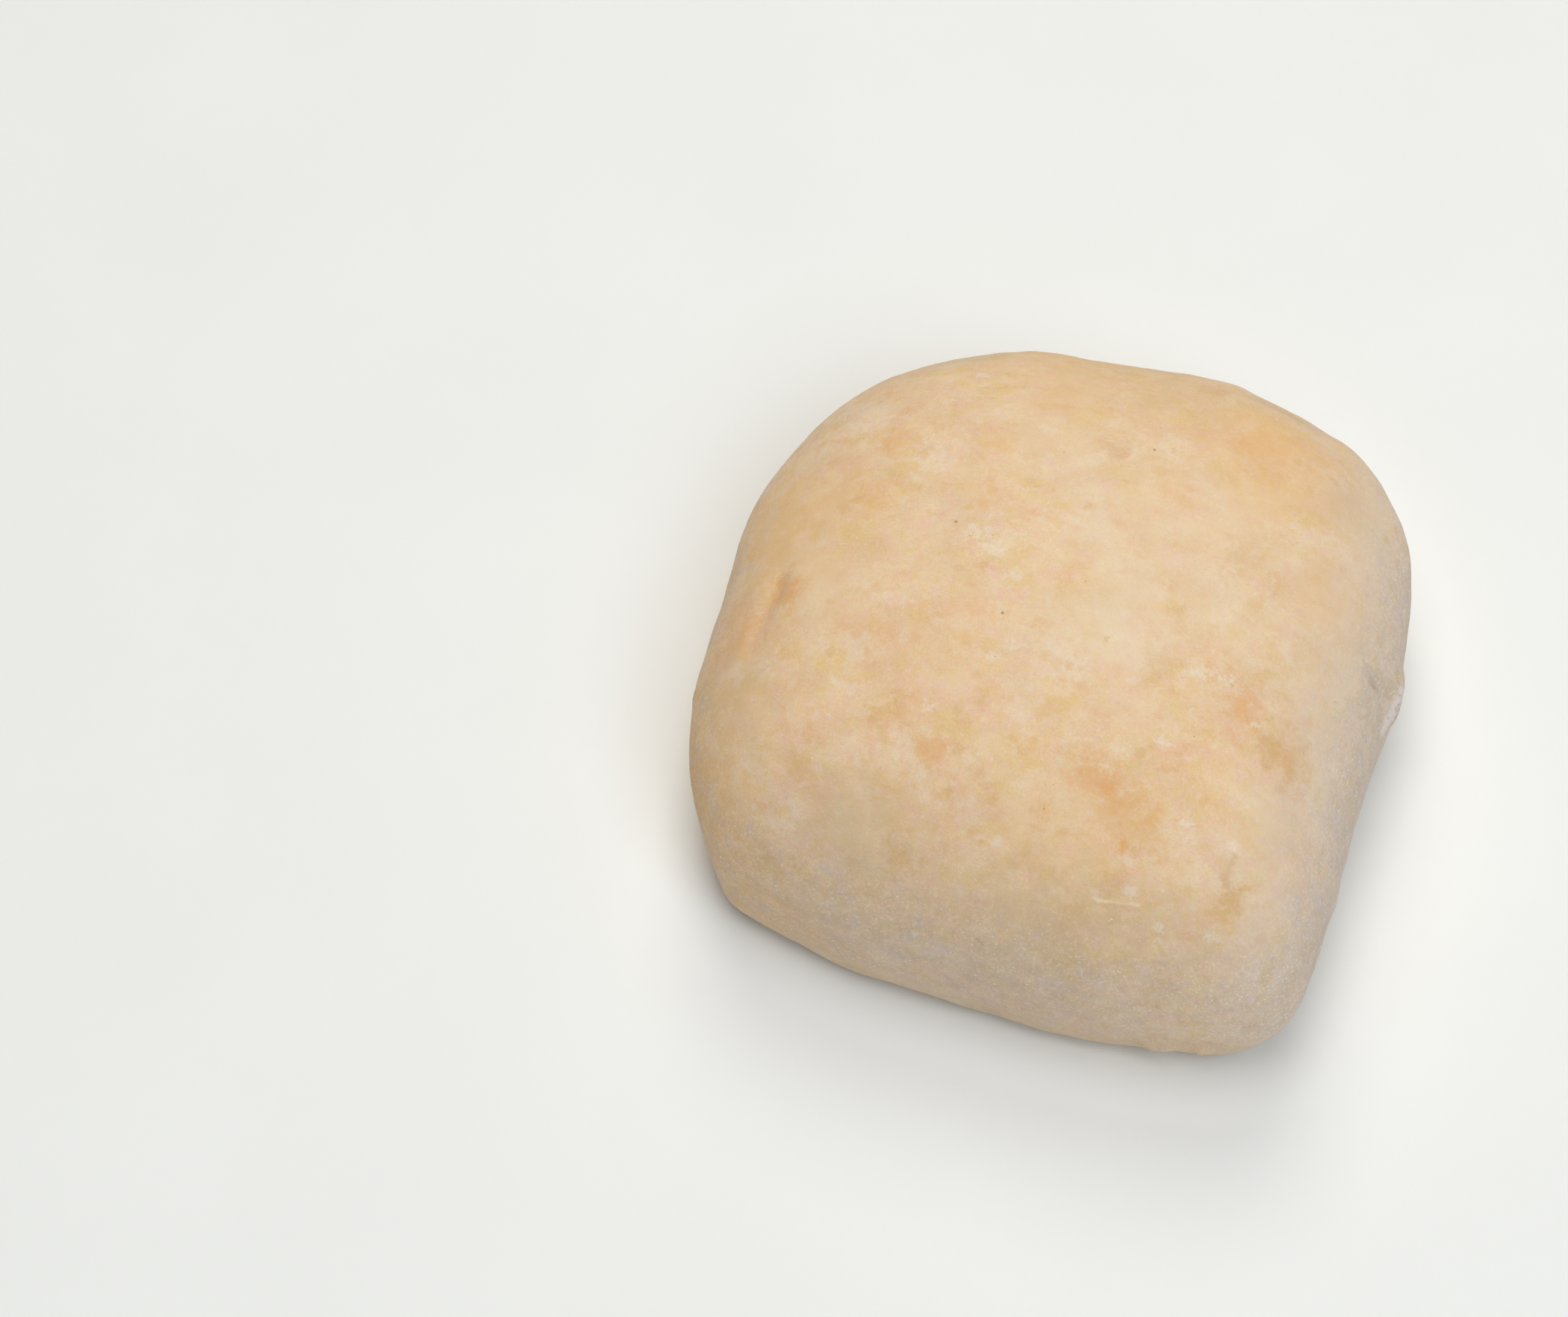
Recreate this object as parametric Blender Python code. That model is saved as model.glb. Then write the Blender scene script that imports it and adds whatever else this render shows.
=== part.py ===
"""A pale, flour-dusted bread roll: a soft square of dough with a flat base.

One solid.  It stands on its base at z = 0 with +Z up, and its front faces -Y.
Lengths are metres, and bearings are degrees counted from +X towards +Y.
"""

import math

import bmesh
import bpy
from mathutils import Vector, noise

MM = 0.001

# Driving dimensions of the whole roll
ROLL_HEIGHT = 48.0 * MM
WAIST_HEIGHT = 19.0 * MM

# Plan at the waist: each side's bearing and its distance from the middle
SIDES = (
    (-1.0, 52.9 * MM),
    (94.5, 46.8 * MM),
    (181.0, 46.0 * MM),
    (268.0, 54.0 * MM),
)
# How square each corner is: 2 is a round corner, 6 is a tight one.
# Each corner lies between the side at the same place in the list and the next.
CORNER_SQUARENESS = (2.5, 2.3, 3.5, 7.8)
CROWN_SQUARENESS = 2.1
# How tightly a corner's squareness keeps to that corner
CORNER_FOCUS = 4.0
FAR_CORNER_NEARNESS = 0.4

# Where the sides were pulled out or pressed in: bearing, half width in degrees, amount
PULLS = (
    (4.0, 8.0, 0.8 * MM),
    (322.0, 7.0, 0.6 * MM),
    (307.0, 8.0, -0.9 * MM),
    (284.0, 12.0, 1.0 * MM),
    (246.0, 8.0, -0.8 * MM),
    (234.0, 5.0, 0.8 * MM),
)

# Section from crown to base: powers of its curves, and how far the base tucks in
DOME_POWER = 2.12
SIDE_POWER = 2.0
BASE_TUCK = 0.075
BASE_TUCK_SWING = 0.02
BASE_TUCK_BEARING = 315.0

# Slow swells of the dough, deeper on top than down the sides
SWELL_LENGTH = 22.0 * MM
SWELL_DEPTH = 0.9 * MM
SIDE_SWELL_SHARE = 0.3
SWELL_ORIGIN = Vector((3.1, 7.4, 1.7))

# The ragged edge round the base
RAGGED_LENGTH = 5.0 * MM
RAGGED_DEPTH = 0.6 * MM
RAGGED_HEIGHT = 4.0 * MM

# Creases pressed into the dough: start, end, half width and depth.
# In order: the fold on the left shoulder, the pinch on the right side and the
# long press mark across the back.
CREASES = (
    (Vector((-37.2, -7.5, 39.9)) * MM, Vector((-38.6, -22.0, 37.0)) * MM, 2.4 * MM, 0.9 * MM),
    (Vector((47.3, 4.6, 28.5)) * MM, Vector((49.2, 0.6, 20.5)) * MM, 2.0 * MM, 0.8 * MM),
    (Vector((-20.0, 50.0, 25.0)) * MM, Vector((24.0, 50.5, 17.0)) * MM, 2.6 * MM, 0.9 * MM),
)

# Mesh: cells along each side of the square, and rows from shoulder to base.
# Latitude runs from 0 at the crown over 1 at the waist to 2 at the base's rim.
CELLS_ACROSS = 36
ROWS_DOWN = 20
SHOULDER_LATITUDE = 0.62
WAIST_LATITUDE = 1.0
RIM_LATITUDE = 2.0
CUBE_SIDE = 2.0
FLAT = 1e-6

CRUST_COLOR = (0.80, 0.58, 0.36, 1.0)
CRUST_ROUGHNESS = 0.85


def clear_scene():
    for item in list(bpy.data.objects):
        bpy.data.objects.remove(item, do_unlink=True)


def smooth_step(low, high, value):
    share = min(max((value - low) / (high - low), 0.0), 1.0)
    return share * share * (3.0 - 2.0 * share)


def angle_between(bearing, other):
    """Signed turn from one bearing to another, between -180 and 180."""
    return (other - bearing + 180.0) % 360.0 - 180.0


def corner_bearing(corner):
    start = SIDES[corner][0]
    end = SIDES[(corner + 1) % len(SIDES)][0]
    return start + angle_between(start, end) / 2.0


def squareness_at(bearing):
    """Blend the corners' squareness by how near each corner is."""
    total = 0.0
    weights = 0.0
    for corner, squareness in enumerate(CORNER_SQUARENESS):
        nearness = math.cos(math.radians(bearing - corner_bearing(corner)))
        weight = max(nearness, FAR_CORNER_NEARNESS) ** CORNER_FOCUS
        total += weight * squareness
        weights += weight
    return total / weights


def pull_at(bearing):
    """How far the dough was pulled out of its plain outline at a bearing."""
    total = 0.0
    for pull_bearing, half_width, amount in PULLS:
        share = angle_between(bearing, pull_bearing) / half_width
        total += amount * math.exp(-share * share)
    return total


def plan_radius(bearing, reach):
    """Distance from the middle to the outline, whose corners round off towards the crown."""
    edge_share = smooth_step(0.0, 1.0, reach)
    power = CROWN_SQUARENESS + (squareness_at(bearing) - CROWN_SQUARENESS) * edge_share
    total = 0.0
    for side_bearing, distance in SIDES:
        toward = math.cos(math.radians(bearing - side_bearing))
        if toward > 0.0:
            total += (toward / distance) ** power
    return total ** (-1.0 / power) + pull_at(bearing) * edge_share


def section(latitude, bearing):
    """Share of the plan radius, and height, on the way from the crown to the base's rim."""
    if latitude <= WAIST_LATITUDE:
        turn = latitude * math.pi / 2.0
        reach = math.sin(turn) ** (2.0 / DOME_POWER)
        rise = math.cos(turn) ** (2.0 / DOME_POWER)
        return reach, WAIST_HEIGHT + (ROLL_HEIGHT - WAIST_HEIGHT) * rise
    turn = (latitude - WAIST_LATITUDE) * math.pi / 2.0
    swing = math.cos(math.radians(bearing - BASE_TUCK_BEARING))
    tuck = BASE_TUCK + BASE_TUCK_SWING * swing
    inward = 1.0 - max(math.cos(turn), 0.0) ** (2.0 / SIDE_POWER)
    drop = math.sin(turn) ** (2.0 / SIDE_POWER)
    return 1.0 - tuck * inward, WAIST_HEIGHT * (1.0 - drop)


def ragged_edge(bearing, height):
    """Small ins and outs of the lowest few millimetres."""
    turn = math.radians(bearing)
    spot = Vector((math.cos(turn), math.sin(turn), 0.0)) * SIDES[0][1] / RAGGED_LENGTH
    fade = 1.0 - smooth_step(0.0, RAGGED_HEIGHT, height)
    return noise.noise(spot) * RAGGED_DEPTH * fade


def plain_roll_point(corner):
    """Carry a point of the cube to the roll: top to dome, sides to sides, bottom to base."""
    u, v, w = corner
    bearing = math.degrees(math.atan2(v, u)) % 360.0
    ring = max(abs(u), abs(v))
    spread = 1.0
    if w > 1.0 - FLAT:
        latitude = ring * SHOULDER_LATITUDE
    elif w < FLAT - 1.0:
        latitude = RIM_LATITUDE
        spread = ring
    else:
        way_down = (1.0 - w) / CUBE_SIDE
        latitude = SHOULDER_LATITUDE + (RIM_LATITUDE - SHOULDER_LATITUDE) * way_down
    reach, height = section(latitude, bearing)
    radius = spread * (reach * plan_radius(bearing, reach) + ragged_edge(bearing, height))
    turn = math.radians(bearing)
    return Vector((radius * math.cos(turn), radius * math.sin(turn), height))


def swell(point):
    """Slow rise and fall of the dough."""
    top_share = smooth_step(WAIST_HEIGHT, ROLL_HEIGHT, point.z)
    depth = SWELL_DEPTH * (SIDE_SWELL_SHARE + (1.0 - SIDE_SWELL_SHARE) * top_share)
    return depth * noise.noise(point / SWELL_LENGTH + SWELL_ORIGIN)


def creases(point):
    """Depth of the creases at a point, as a negative height."""
    total = 0.0
    for start, end, half_width, depth in CREASES:
        along = end - start
        share = min(max((point - start).dot(along) / along.length_squared, 0.0), 1.0)
        distance = (point - start - along * share).length / half_width
        total -= depth * math.exp(-distance * distance)
    return total


def cube_grid():
    """A cube of cells: its top and bottom are grids, its sides are strips of rows."""
    mesh = bmesh.new()
    bmesh.ops.create_cube(mesh, size=CUBE_SIDE)
    upright = [edge for edge in mesh.edges if abs(edge.verts[0].co.z - edge.verts[1].co.z) > FLAT]
    bmesh.ops.subdivide_edges(mesh, edges=upright, cuts=ROWS_DOWN - 1, use_grid_fill=True)
    level = [edge for edge in mesh.edges if abs(edge.verts[0].co.z - edge.verts[1].co.z) < FLAT]
    bmesh.ops.subdivide_edges(mesh, edges=level, cuts=CELLS_ACROSS - 1, use_grid_fill=True)
    return mesh


def press_relief(mesh):
    """Move each point along its own normal, less and less towards the flat base."""
    mesh.normal_update()
    moves = []
    for vert in mesh.verts:
        fade = smooth_step(0.0, RAGGED_HEIGHT, vert.co.z)
        moves.append(vert.normal * (swell(vert.co) + creases(vert.co)) * fade)
    for vert, move in zip(mesh.verts, moves):
        vert.co += move


def centre_over_base(mesh):
    """Put the middle of the roll's box over the origin, with the base at z = 0."""
    for axis in (0, 1):
        places = [vert.co[axis] for vert in mesh.verts]
        middle = (min(places) + max(places)) / 2.0
        for vert in mesh.verts:
            vert.co[axis] -= middle


def crust_material():
    material = bpy.data.materials.new("crust")
    material.use_nodes = True
    shader = material.node_tree.nodes["Principled BSDF"]
    shader.inputs["Base Color"].default_value = CRUST_COLOR
    shader.inputs["Roughness"].default_value = CRUST_ROUGHNESS
    shader.inputs["Metallic"].default_value = 0.0
    return material


def build_roll():
    mesh = cube_grid()
    for vert in mesh.verts:
        vert.co = plain_roll_point(vert.co)
    centre_over_base(mesh)
    press_relief(mesh)
    centre_over_base(mesh)
    data = bpy.data.meshes.new("bread_roll")
    mesh.to_mesh(data)
    mesh.free()
    data.shade_smooth()
    data.materials.append(crust_material())
    roll = bpy.data.objects.new("bread_roll", data)
    bpy.context.scene.collection.objects.link(roll)


clear_scene()
build_roll()
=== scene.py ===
# %% [markdown]
# # A floury bread roll
# This lesson dresses one pale bread roll: a soft square of dough with a domed
# top and a flat base.  The packed part is a plain solid of the right size, so
# what is left to make is the skin: its small unevenness, its toasted blushes
# and the flour that clings to it.  Every object is in metres, in one frame.

# %% Load the packed part and keep its size
import math
import random

import bpy
import numpy as np
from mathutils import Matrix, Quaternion, Vector


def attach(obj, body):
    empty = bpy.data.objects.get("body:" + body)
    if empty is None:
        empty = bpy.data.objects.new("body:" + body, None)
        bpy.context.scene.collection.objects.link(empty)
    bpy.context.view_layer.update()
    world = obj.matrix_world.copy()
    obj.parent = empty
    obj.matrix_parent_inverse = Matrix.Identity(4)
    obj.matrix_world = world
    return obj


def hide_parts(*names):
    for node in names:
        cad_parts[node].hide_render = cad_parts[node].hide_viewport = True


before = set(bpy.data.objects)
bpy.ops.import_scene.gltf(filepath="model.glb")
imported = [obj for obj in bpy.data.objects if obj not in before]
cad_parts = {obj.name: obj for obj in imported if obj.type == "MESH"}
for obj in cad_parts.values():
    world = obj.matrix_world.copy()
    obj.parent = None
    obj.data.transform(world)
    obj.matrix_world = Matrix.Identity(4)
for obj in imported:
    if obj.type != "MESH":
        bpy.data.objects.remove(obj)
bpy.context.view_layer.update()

MM = 0.001
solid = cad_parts["bread_roll"]

# %% [markdown]
# ## The camera
# The roll is seen from above and a little from its right.  A camera could be
# aimed straight at it, but here the roll sits off to one side of the picture,
# so the camera is turned away from it by a few degrees instead: `aim` is the
# direction in which the lens sees the middle of the base.  Turning the camera
# keeps the perspective of a real lens, and the lens needs no shift.

# %% Set the camera
PICTURE = (2100, 1764)
LENS_MM = 100.0
SENSOR_MM = 36.0
AZIMUTH = 15.8
ELEVATION = 60.0
CAMERA_ROLL = -0.96
DISTANCE = 656.6 * MM
BASE_IN_PICTURE = (1407.3, 984.6)


def direction(azimuth, elevation):
    """The way from the roll to a camera or a light: azimuth 0 is in front, 90 to the right."""
    turn = math.radians(azimuth)
    rise = math.radians(elevation)
    return Vector((math.sin(turn) * math.cos(rise), -math.cos(turn) * math.cos(rise), math.sin(rise)))


back = direction(AZIMUTH, ELEVATION)
pixels_focal = LENS_MM / SENSOR_MM * PICTURE[0]
aim = Vector((
    (BASE_IN_PICTURE[0] - PICTURE[0] / 2) / pixels_focal,
    (PICTURE[1] / 2 - BASE_IN_PICTURE[1]) / pixels_focal,
    -1.0,
))

camera_data = bpy.data.cameras.new("camera")
camera_data.lens = LENS_MM
camera_data.sensor_width = SENSOR_MM
camera = bpy.data.objects.new("camera", camera_data)
bpy.context.scene.collection.objects.link(camera)
bpy.context.scene.camera = camera
camera.rotation_mode = "QUATERNION"
camera.location = back * DISTANCE
look = (-back).to_track_quat("-Z", "Y")
pan = aim.rotation_difference(Vector((0.0, 0.0, -1.0)))
camera.rotation_quaternion = look @ Quaternion((0.0, 0.0, 1.0), math.radians(CAMERA_ROLL)) @ pan
print("camera at", [round(place, 3) for place in camera.location])

# %% [markdown]
# ## The skin, as a copy of the solid
# The skin of a roll is one closed surface.  It could be remeshed from scratch,
# but the solid already has the right form, so the skin starts as a copy of it.
# The copy comes as loose triangles, which are merged into one surface and
# joined into quads, because a subdivision surface flows along quads.  The many
# thin triangles of the flat base are dissolved into one face.  It is extruded
# and shrunk again and again, so that rings of quads fill the base.

# %% Copy the solid and clean the copy
MERGE_DISTANCE = 0.001 * MM
# The faces of the base point down more than this and lie below this height
BASE_NORMAL = -0.999
BASE_LEVEL = 0.01 * MM
# Each ring of the base is this share of the one round it
BASE_RINGS = 9
BASE_RING_SHARE = 0.78
QUAD_ANGLE = math.radians(50.0)


def choose(piece):
    """Make one object the only selected and active one."""
    bpy.ops.object.select_all(action="DESELECT")
    piece.select_set(True)
    bpy.context.view_layer.objects.active = piece


crust = bpy.data.objects.new("floury_crust", solid.data.copy())
bpy.context.scene.collection.objects.link(crust)
crust.data.materials.clear()
choose(crust)
bpy.ops.object.mode_set(mode="EDIT")
bpy.ops.mesh.select_mode(type="FACE")
bpy.ops.mesh.select_all(action="SELECT")
bpy.ops.mesh.remove_doubles(threshold=MERGE_DISTANCE)
bpy.ops.mesh.select_all(action="DESELECT")
bpy.ops.object.mode_set(mode="OBJECT")
for face in crust.data.polygons:
    face.select = face.normal.z < BASE_NORMAL and face.center.z < BASE_LEVEL
bpy.ops.object.mode_set(mode="EDIT")
bpy.ops.mesh.dissolve_faces()
# A face that is extruded by itself gives its rings in the same order in each run
ring_scale = (BASE_RING_SHARE, BASE_RING_SHARE, 1.0)
for ring in range(BASE_RINGS):
    bpy.ops.mesh.extrude_faces_indiv()
    bpy.ops.transform.resize(value=ring_scale, center_override=(0.0, 0.0, 0.0))
bpy.ops.mesh.select_all(action="SELECT")
bpy.ops.mesh.tris_convert_to_quads(face_threshold=QUAD_ANGLE, shape_threshold=QUAD_ANGLE)
bpy.ops.object.mode_set(mode="OBJECT")
corners = [len(face.vertices) for face in crust.data.polygons]
print("faces:", len(corners), "of them quads:", corners.count(4))

# %% [markdown]
# ## Finer faces
# A wrinkle needs faces smaller than itself.  A subdivision surface splits each
# quad into sixteen and rounds the form as it goes, which also softens the
# sharp rim of the base, as on real dough.

# %% Subdivide the skin
SKIN_LEVELS = 2


def finish_modifier(piece, kind, **settings):
    """Add a modifier, set it and apply it."""
    modifier = piece.modifiers.new(kind.lower(), kind)
    for name, value in settings.items():
        setattr(modifier, name, value)
    choose(piece)
    bpy.ops.object.modifier_apply(modifier=modifier.name)


finish_modifier(crust, "SUBSURF", levels=SKIN_LEVELS, render_levels=SKIN_LEVELS)
bpy.ops.object.shade_smooth()
print("skin points:", len(crust.data.vertices))

# %% [markdown]
# ## Small unevenness
# Dough is never quite smooth: it swells between its gas bubbles, and the skin
# puckers as it dries.  Carving that by hand would take hours.  Displace
# modifiers with cloud textures do it at three sizes instead.  A vertex group
# that fades out towards the base keeps the base flat.

# %% Displace the skin at three sizes
FADE_HEIGHT = 4.0 * MM
# Name, size of the clouds and depth from the lowest to the highest point
SWELLS = (
    ("slow swells", 11.0 * MM, 0.55 * MM),
    ("puckers", 4.0 * MM, 0.20 * MM),
    ("fine puckers", 1.7 * MM, 0.07 * MM),
)


def smooth_step(low, high, value):
    """Ease from 0 to 1 while the value goes from low to high."""
    share = np.clip((value - low) / (high - low), 0.0, 1.0)
    return share * share * (3.0 - 2.0 * share)


def read_points(piece):
    """Places and normals of all points, as two arrays."""
    count = len(piece.data.vertices)
    places = np.empty(count * 3)
    normals = np.empty(count * 3)
    piece.data.vertices.foreach_get("co", places)
    piece.data.vertex_normals.foreach_get("vector", normals)
    return places.reshape(-1, 3), normals.reshape(-1, 3)


def write_points(piece, places):
    """Put all points at new places."""
    piece.data.vertices.foreach_set("co", places.ravel())
    piece.data.update()


places = read_points(crust)[0]
lift = smooth_step(0.0, FADE_HEIGHT, places[:, 2])
above_base = crust.vertex_groups.new(name="above_base")
for index, weight in enumerate(lift):
    above_base.add([index], float(weight), "REPLACE")
for name, size, depth in SWELLS:
    clouds = bpy.data.textures.new(name, "CLOUDS")
    clouds.noise_scale = size
    clouds.noise_depth = 1
    finish_modifier(
        crust, "DISPLACE", texture=clouds, texture_coords="LOCAL", mid_level=0.5,
        strength=depth, vertex_group="above_base",
    )
print("highest point in mm:", round(read_points(crust)[0][:, 2].max() / MM, 2))

# %% [markdown]
# ## Marks of handling
# A few marks make this roll this one: a fold on its left shoulder, a pinch on
# its right side where the skin gathers in wrinkles, a blister near the front
# corner, a hairline split, and small tags of dough at its sides.  Low swells
# and shallow hollows round the outline make it as uneven as dough shaped by
# hand.  All of them could be sculpted with a brush.  Here each is a short line
# on the skin, which is easy to move and to measure.  The points near the line
# move along their normals, in for a groove and out for a ridge.

# %% Press the marks into the skin
# Name, points of the line in mm, half width in mm, and height in mm
MARKS = (
    ("fold, filled", ((-37.2, -7.5, 39.9), (-38.6, -22.0, 37.0)), 2.6, 0.45),
    ("fold, crease", ((-37.6, -6.7, 39.3), (-38.0, -12.0, 38.5), (-38.9, -17.8, 37.5)), 1.5, -0.30),
    ("fold, ridge", ((-40.4, -8.0, 37.6), (-41.0, -14.0, 36.6), (-41.6, -19.0, 35.4)), 2.4, 0.14),
    ("pinch, gathered", ((49.6, 9.6, 20.0), (49.5, 6.2, 18.4)), 2.9, 0.92),
    ("pinch, upper", ((46.3, 5.2, 30.1), (47.3, 4.6, 28.3), (49.3, 5.7, 23.0)), 0.8, -0.50),
    ("pinch, lower", ((47.3, 4.6, 28.3), (49.2, 2.9, 22.4), (49.2, 0.7, 20.7)), 0.7, -0.45),
    ("pinch, front", ((46.6, 0.4, 29.6), (48.3, -0.4, 25.4), (49.4, -2.2, 21.6)), 0.8, -0.30),
    ("split", ((17.9, -43.3, 34.6), (22.9, -42.8, 34.9), (26.9, -41.4, 35.8)), 0.5, -0.12),
    ("split lip", ((17.9, -44.1, 33.9), (21.4, -43.8, 34.1), (24.4, -43.3, 34.3)), 0.7, 0.10),
    ("blister", ((34.4, -34.0, 38.1), (34.6, -34.4, 37.9)), 2.4, 0.22),
    ("tag, front corner", ((35.0, -48.8, 7.0), (35.4, -48.9, 7.6)), 0.8, 1.25),
    ("swell, front corner", ((37.2, -47.2, 5.2), (38.6, -46.8, 5.6)), 2.6, 0.34),
    ("swell, right corner", ((45.0, -43.3, 11.2), (46.3, -42.1, 14.4)), 5.0, 0.85),
    ("hollow, right corner", ((48.0, -36.4, 15.0), (48.4, -31.0, 17.0)), 3.0, -0.60),
    ("swell, right side", ((48.5, -25.2, 17.0), (48.5, -23.6, 17.0)), 2.6, 0.45),
    ("swell, far right corner", ((43.9, 33.3, 26.8), (45.4, 30.2, 25.6)), 4.2, 0.60),
    ("swell, far right", ((34.8, 41.2, 30.2), (39.0, 38.4, 28.0)), 2.8, 0.44),
    ("hollow, back edge", ((21.6, 45.4, 31.9), (28.0, 44.3, 30.7)), 3.6, -0.64),
    ("swell, back edge", ((9.4, 46.1, 33.4), (15.6, 47.0, 31.7)), 3.6, 0.34),
    ("swell, back left", ((-13.8, 44.8, 32.8), (-11.4, 44.9, 32.8)), 3.0, 0.42),
    ("hollow, back left", ((-30.0, 37.6, 33.6), (-22.7, 41.6, 33.2)), 4.6, -0.50),
    ("hollow, left side", ((-44.0, -36.0, 17.0), (-42.0, -38.0, 12.0)), 8.0, -0.25),
    ("swell, front left", ((-25.0, -46.2, 6.8), (-3.5, -49.5, 7.6)), 5.0, 0.28),
    ("swell, front", ((13.0, -49.9, 5.0), (18.4, -49.7, 4.8)), 4.0, 0.42),
    ("swell, front right", ((28.8, -49.8, 7.0), (29.8, -49.7, 6.8)), 2.0, 0.92),
    ("tag, left", ((-47.2, -20.2, 26.7), (-47.4, -20.6, 24.6)), 1.1, 0.25),
    ("hollow, right side", ((48.5, -19.5, 18.9), (48.5, -20.5, 18.5)), 1.5, -0.25),
    ("hollow, under the pinch", ((49.4, 2.6, 16.2), (49.0, -3.0, 17.0)), 2.0, -0.18),
    ("hollow, left shoulder", ((-48.3, -0.5, 26.3), (-48.2, -9.5, 26.6)), 3.6, -0.42),
    ("swell, left corner", ((-36.8, -42.5, 6.8), (-35.6, -43.2, 7.0)), 1.9, 0.36),
    ("hollow, front left", ((-19.3, -47.6, 5.2), (-18.3, -47.8, 5.2)), 2.0, -0.22),
    ("hollow, front", ((2.4, -49.8, 6.0), (3.6, -49.8, 6.0)), 2.4, -0.45),
    ("hollow, far right", ((39.4, 38.2, 28.8), (40.4, 37.4, 28.2)), 2.0, -0.26),
)


def distance_to_line(places, line):
    """Distance of each point from a line of joined points."""
    nearest = np.full(len(places), np.inf)
    for start, end in zip(line, line[1:]):
        along = end - start
        share = np.clip((places - start) @ along / (along @ along), 0.0, 1.0)
        away = np.linalg.norm(places - start - share[:, None] * along, axis=1)
        nearest = np.minimum(nearest, away)
    return nearest


places, normals = read_points(crust)
height = np.zeros(len(places))
for name, line, half_width, depth in MARKS:
    away = distance_to_line(places, np.array(line) * MM) / (half_width * MM)
    height += depth * MM * np.exp(-away * away)
places += normals * height[:, None]
places[:, 2] = np.maximum(places[:, 2], 0.0)
write_points(crust, places)
print("marks:", len(MARKS), "deepest in mm:", round(height.min() / MM, 2))

# %% [markdown]
# ## Where the skin faces
# Flour lies differently on the top, the sides and the base.  A material can
# read such things from an attribute, which is one number for each point of the
# mesh.  Three are stored: how far the skin faces sideways, how far it faces
# down, and how deep it lies in a groove.

# %% Store attributes for the material
def store(piece, name, values):
    """Keep one number for each point under a name."""
    attribute = piece.data.attributes.new(name, "FLOAT", "POINT")
    attribute.data.foreach_set("value", values.astype(np.float32))


normals = read_points(crust)[1]
store(crust, "sideways", 1.0 - np.abs(normals[:, 2]))
store(crust, "downwards", np.clip(-normals[:, 2], 0.0, 1.0))
store(crust, "groove", np.clip(-height / MM, 0.0, 1.0))
print("points that face down:", int((normals[:, 2] < -0.9).sum()))

# %% [markdown]
# ## A small kit for material nodes
# A material is a graph of nodes.  Wiring it by hand in code is long, so this
# small class keeps one graph and adds nodes to it by short calls.  Each call
# takes plain values or the outputs of other nodes, and returns its own output.
# The last two set the surface itself.  All sizes are in millimetres, because
# the coordinates are scaled once.

# %% Helpers for node graphs
def tone(red, green, blue):
    """A colour from the 0 to 255 numbers of a picture, as the light that it reflects."""
    shares = [part / 255.0 for part in (red, green, blue)]
    return tuple(((part + 0.055) / 1.055) ** 2.4 for part in shares) + (1.0,)


# A drawn dot is full out to this share of its radius, and fades from there
DOT_CORE = 0.4


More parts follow.
